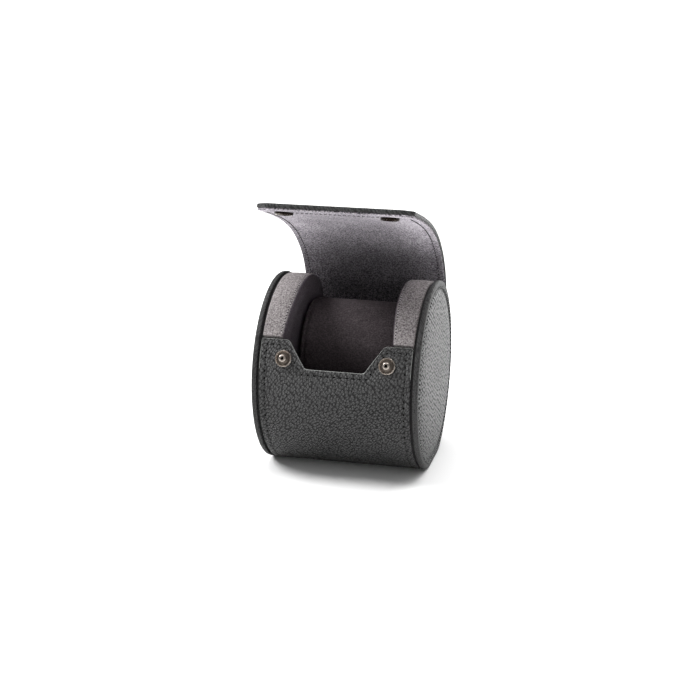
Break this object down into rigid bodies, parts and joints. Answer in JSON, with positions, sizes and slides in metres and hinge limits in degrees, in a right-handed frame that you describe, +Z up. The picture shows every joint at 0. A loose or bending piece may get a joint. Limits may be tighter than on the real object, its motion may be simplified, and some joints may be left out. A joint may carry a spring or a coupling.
{
  "type": "watch storage case",
  "caption": "Round leather travel case for a wristwatch: a roll on a flat base with padded ends, a cushion between suede cheeks, and a flexible snap flap over the top.",
  "frame": {"origin": "middle of the flat base that the case stands on", "axes": "+X along the roll's axis to the right as seen from the front, -Y to the front with the snaps, +Z up"},
  "size_m": [0.087, 0.1003, 0.1428],
  "materials": {
    "pebbled_leather": "dark graphite, fine pebbled grain, low sheen",
    "rim_leather": "dark graphite, smoother turned edge",
    "lining_suede": "warm grey suede, matt",
    "light_suede": "light grey suede, matt",
    "dark_suede": "charcoal suede, matt",
    "black_tape": "black edge tape",
    "grey_board": "grey bookbinder's board",
    "foam": "light polyurethane foam",
    "nickel": "polished nickel plate"
  },
  "bodies": {
    "case": {"body_board": "grey_board", "body_leather": "pebbled_leather", "body_lining": "dark_suede", "cheek_band_left": "light_suede", "cheek_band_right": "light_suede", "cheek_facing_left": "dark_suede", "cheek_facing_right": "dark_suede", "cheek_foam_left": "foam", "cheek_foam_right": "foam", "cushion_core": "foam", "cushion_cover": "dark_suede", "cushion_end_left": "dark_suede", "cushion_end_right": "dark_suede", "end_board_left": "grey_board", "end_board_right": "grey_board", "end_face_left": "pebbled_leather", "end_face_right": "pebbled_leather", "end_foam_left": "foam", "end_foam_right": "foam", "end_rim_left": "rim_leather", "end_rim_right": "rim_leather", "groove_tape_left": "black_tape", "groove_tape_right": "black_tape", "hinge_facing_body": "pebbled_leather", "snap_stud_rivets": "nickel", "snap_studs": "nickel"},
    "lid_1": {"hinge_facing_lid": "pebbled_leather", "lid_1_board": "grey_board", "lid_1_leather": "pebbled_leather", "lid_1_lining": "lining_suede"},
    "lid_2": {"lid_2_board": "grey_board", "lid_2_leather": "pebbled_leather", "lid_2_lining": "lining_suede"},
    "lid_3": {"lid_3_board": "grey_board", "lid_3_leather": "pebbled_leather", "lid_3_lining": "lining_suede"},
    "lid_4": {"lid_4_board": "grey_board", "lid_4_leather": "pebbled_leather", "lid_4_lining": "lining_suede"},
    "lid_5": {"lid_5_board": "grey_board", "lid_5_leather": "pebbled_leather", "lid_5_lining": "lining_suede"},
    "lid_6": {"lid_6_board": "grey_board", "lid_6_leather": "pebbled_leather", "lid_6_lining": "lining_suede", "snap_caps": "nickel", "snap_sockets": "nickel"}
  },
  "joints": [
    {"name": "lid_hinge", "type": "hinge", "parent": "case", "child": "lid_1", "pos_m": [0, 0.0468, 0.05567], "axis": [1, 0, 0], "range_deg": [-5, 14.51]},
    {"name": "lid_bend_2", "type": "hinge", "parent": "lid_1", "child": "lid_2", "pos_m": [0, 0.04536, 0.08329], "axis": [1, 0, 0], "range_deg": [-3.4, 9.78]},
    {"name": "lid_bend_3", "type": "hinge", "parent": "lid_2", "child": "lid_3", "pos_m": [0, 0.03223, 0.1043], "axis": [1, 0, 0], "range_deg": [-2.28, 6.51]},
    {"name": "lid_bend_4", "type": "hinge", "parent": "lid_3", "child": "lid_4", "pos_m": [0, 0.0122, 0.11912], "axis": [1, 0, 0], "range_deg": [-3.41, 9.81]},
    {"name": "lid_bend_5", "type": "hinge", "parent": "lid_4", "child": "lid_5", "pos_m": [0, -0.0097, 0.12887], "axis": [1, 0, 0], "range_deg": [-6.42, 18.52]},
    {"name": "lid_bend_6", "type": "hinge", "parent": "lid_5", "child": "lid_6", "pos_m": [0, -0.02968, 0.13536], "axis": [1, 0, 0], "range_deg": [-9.45, 27.32]}
  ],
  "couplings": [
    {"joint": "lid_bend_2", "follows": "lid_hinge", "ratio": 0.67075},
    {"joint": "lid_bend_3", "follows": "lid_hinge", "ratio": 0.44556},
    {"joint": "lid_bend_4", "follows": "lid_hinge", "ratio": 0.67278},
    {"joint": "lid_bend_5", "follows": "lid_hinge", "ratio": 1.273},
    {"joint": "lid_bend_6", "follows": "lid_hinge", "ratio": 1.8797}
  ]
}
